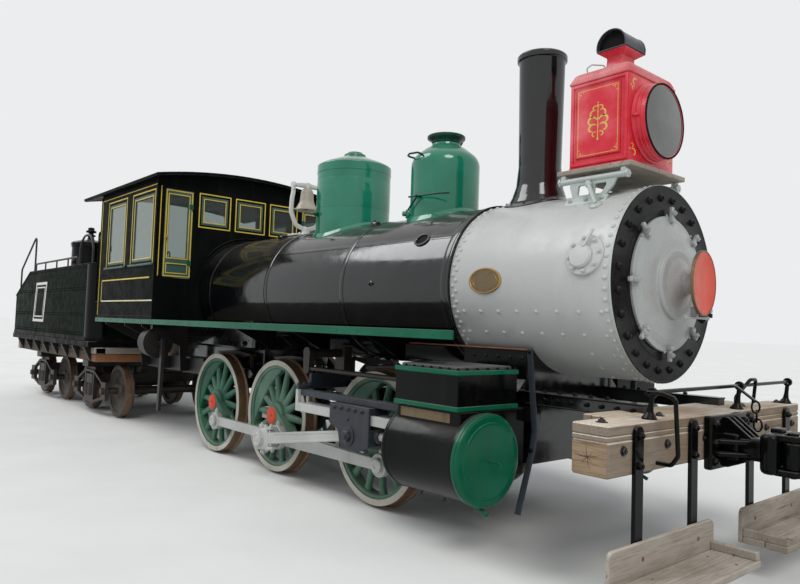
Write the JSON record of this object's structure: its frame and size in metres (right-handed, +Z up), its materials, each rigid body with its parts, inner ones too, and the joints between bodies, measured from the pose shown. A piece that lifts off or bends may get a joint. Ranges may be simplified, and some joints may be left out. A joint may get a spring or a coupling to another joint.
{
  "type": "steam switching locomotive with slope-back tender",
  "caption": "Six-coupled steam switcher with spoked drivers, side and main rods, round boiler with domes, box headlight, wooden beam, cab and slope-back tender on trucks.",
  "frame": {"origin": "centre of the overall box in plan, at the wheel flanges' lowest points", "axes": "+X forward to the smokebox door, +Y to the engine's left, +Z up"},
  "size_m": [15.49, 2.92, 4.1019],
  "materials": {
    "boiler_black": "gloss black",
    "smokebox_grey": "warm grey paint, satin",
    "engine_green": "gloss green",
    "wheel_green": "green spokes, white tyre face",
    "cab_black": "gloss black with yellow lines",
    "tender_green": "dark green, riveted",
    "lamp_red": "red with gold lines",
    "iron_black": "satin black",
    "rod_steel": "worn bright steel",
    "guide_blue": "dark blue-grey",
    "brown_iron": "weathered brown-black",
    "bell_paint": "pale grey paint",
    "old_wood": "weathered timber",
    "dark_timber": "painted underframe, dull black",
    "window_glass": "clear",
    "lamp_glass": "clear"
  },
  "bodies": {
    "locomotive": {"boiler": "boiler_black", "smokebox": "smokebox_grey", "smokebox_ring": "boiler_black", "saddle": "boiler_black", "stack": "boiler_black", "sand_dome": "engine_green", "steam_dome": "engine_green", "bell_stand": "iron_black", "headlight_case": "lamp_red", "headlight_shelf": "old_wood", "running_boards": "engine_green", "cab_sides": "cab_black", "cab_front": "cab_black", "cab_roof": "cab_black", "cab_floor": "old_wood", "cab_fittings": "iron_black", "cab_glass": "window_glass", "cylinders": "boiler_black", "steam_chests": "engine_green", "guides": "guide_blue", "valve_gear": "brown_iron", "frame_bars": "boiler_black", "drag_box": "iron_black", "springs": "iron_black", "brake_gear": "iron_black", "front_beam": "old_wood", "beam_irons": "iron_black", "footboards": "old_wood", "coupler_front": "iron_black"},
    "drivers_front": {"drivers_front": "wheel_green"},
    "drivers_main": {"drivers_main": "wheel_green"},
    "drivers_rear": {"drivers_rear": "wheel_green"},
    "side_rod_right": {"side_rod_right": "rod_steel"},
    "side_rod_left": {"side_rod_left": "rod_steel"},
    "crosshead_right": {"crosshead_right": "guide_blue", "main_rod_right": "rod_steel"},
    "crosshead_left": {"crosshead_left": "guide_blue", "main_rod_left": "rod_steel"},
    "bell": {"bell": "bell_paint"},
    "smokebox_door": {"smokebox_door": "smokebox_grey"},
    "headlight_front": {"headlight_door": "lamp_red", "headlight_glass": "lamp_glass"},
    "cab_door_right": {"cab_door_right": "cab_black"},
    "cab_door_left": {"cab_door_left": "cab_black"},
    "knuckle_front": {"knuckle_front": "iron_black"},
    "tender": {"tender_frame": "dark_timber", "tender_tank": "tender_green", "filling_turret": "boiler_black", "tender_rails_right": "iron_black", "tender_rails_left": "iron_black", "coupler_rear": "iron_black"},
    "turret_lid": {"turret_lid": "boiler_black"},
    "knuckle_rear": {"knuckle_rear": "iron_black"},
    "truck_front": {"truck_front": "brown_iron"},
    "truck_rear": {"truck_rear": "brown_iron"},
    "tender_wheels_1": {"tender_wheels_1": "brown_iron"},
    "tender_wheels_2": {"tender_wheels_2": "brown_iron"},
    "tender_wheels_3": {"tender_wheels_3": "brown_iron"},
    "tender_wheels_4": {"tender_wheels_4": "brown_iron"}
  },
  "joints": [
    {"name": "drivers_front_spin", "type": "hinge", "parent": "locomotive", "child": "drivers_front", "pos_m": [4.326, 0, 0.635], "axis": [0, 1, 0], "continuous": true},
    {"name": "drivers_main_spin", "type": "hinge", "parent": "locomotive", "child": "drivers_main", "pos_m": [2.585, 0, 0.635], "axis": [0, 1, 0], "continuous": true},
    {"name": "drivers_rear_spin", "type": "hinge", "parent": "locomotive", "child": "drivers_rear", "pos_m": [1.14, 0, 0.635], "axis": [0, 1, 0], "continuous": true},
    {"name": "side_rod_right_turn", "type": "hinge", "parent": "drivers_main", "child": "side_rod_right", "pos_m": [2.81519, -0.907, 0.4349], "axis": [0, 1, 0], "continuous": true},
    {"name": "side_rod_left_turn", "type": "hinge", "parent": "drivers_main", "child": "side_rod_left", "pos_m": [2.7851, 0.907, 0.86519], "axis": [0, 1, 0], "continuous": true},
    {"name": "crosshead_right_slide", "type": "slide", "parent": "locomotive", "child": "crosshead_right", "axis": [1, 0, 0], "range_m": [-0.5157, 0.0947]},
    {"name": "crosshead_left_slide", "type": "slide", "parent": "locomotive", "child": "crosshead_left", "axis": [1, 0, 0], "range_m": [-0.4979, 0.1125]},
    {"name": "bell_swing", "type": "hinge", "parent": "locomotive", "child": "bell", "pos_m": [1.785, 0, 3.42], "axis": [0, 1, 0], "range_deg": [-45, 45]},
    {"name": "smokebox_door_swing", "type": "hinge", "parent": "locomotive", "child": "smokebox_door", "pos_m": [6.751, 0.585, 2.044], "axis": [0, 0, 1], "range_deg": [0, 110]},
    {"name": "headlight_front_swing", "type": "hinge", "parent": "locomotive", "child": "headlight_front", "pos_m": [6.5803, 0.314, 3.27], "axis": [0, 0, 1], "range_deg": [0, 100]},
    {"name": "cab_door_right_swing", "type": "hinge", "parent": "locomotive", "child": "cab_door_right", "pos_m": [0.329, -0.884, 2.805], "axis": [0, 0, 1], "range_deg": [0, 95]},
    {"name": "cab_door_left_swing", "type": "hinge", "parent": "locomotive", "child": "cab_door_left", "pos_m": [0.329, 0.884, 2.805], "axis": [0, 0, -1], "range_deg": [0, 95]},
    {"name": "knuckle_front_turn", "type": "hinge", "parent": "locomotive", "child": "knuckle_front", "pos_m": [7.623, -0.095, 0.93], "axis": [0, 0, -1], "range_deg": [0, 45]},
    {"name": "tender_turn", "type": "hinge", "parent": "locomotive", "child": "tender", "pos_m": [-1.96, 0, 1.01], "axis": [0, 0, 1], "range_deg": [-3, 3]},
    {"name": "turret_lid_swing", "type": "hinge", "parent": "tender", "child": "turret_lid", "pos_m": [-3.965, -0.553, 2.956], "axis": [-1, 0, 0], "range_deg": [0, 100]},
    {"name": "knuckle_rear_turn", "type": "hinge", "parent": "tender", "child": "knuckle_rear", "pos_m": [-7.623, 0.095, 0.93], "axis": [0, 0, -1], "range_deg": [0, 45]},
    {"name": "truck_front_swivel", "type": "hinge", "parent": "tender", "child": "truck_front", "pos_m": [-3.15, 0, 0.725], "axis": [0, 0, 1], "range_deg": [-6, 6]},
    {"name": "truck_rear_swivel", "type": "hinge", "parent": "tender", "child": "truck_rear", "pos_m": [-6.15, 0, 0.725], "axis": [0, 0, 1], "range_deg": [-6, 6]},
    {"name": "tender_wheels_1_spin", "type": "hinge", "parent": "truck_front", "child": "tender_wheels_1", "pos_m": [-2.425, 0, 0.444], "axis": [0, 1, 0], "continuous": true},
    {"name": "tender_wheels_2_spin", "type": "hinge", "parent": "truck_front", "child": "tender_wheels_2", "pos_m": [-3.875, 0, 0.444], "axis": [0, 1, 0], "continuous": true},
    {"name": "tender_wheels_3_spin", "type": "hinge", "parent": "truck_rear", "child": "tender_wheels_3", "pos_m": [-5.425, 0, 0.444], "axis": [0, 1, 0], "continuous": true},
    {"name": "tender_wheels_4_spin", "type": "hinge", "parent": "truck_rear", "child": "tender_wheels_4", "pos_m": [-6.875, 0, 0.444], "axis": [0, 1, 0], "continuous": true}
  ],
  "couplings": [
    {"joint": "drivers_front_spin", "follows": "drivers_main_spin", "ratio": 1},
    {"joint": "drivers_rear_spin", "follows": "drivers_main_spin", "ratio": 1},
    {"joint": "side_rod_right_turn", "follows": "drivers_main_spin", "ratio": -1},
    {"joint": "side_rod_left_turn", "follows": "drivers_main_spin", "ratio": -1}
  ]
}
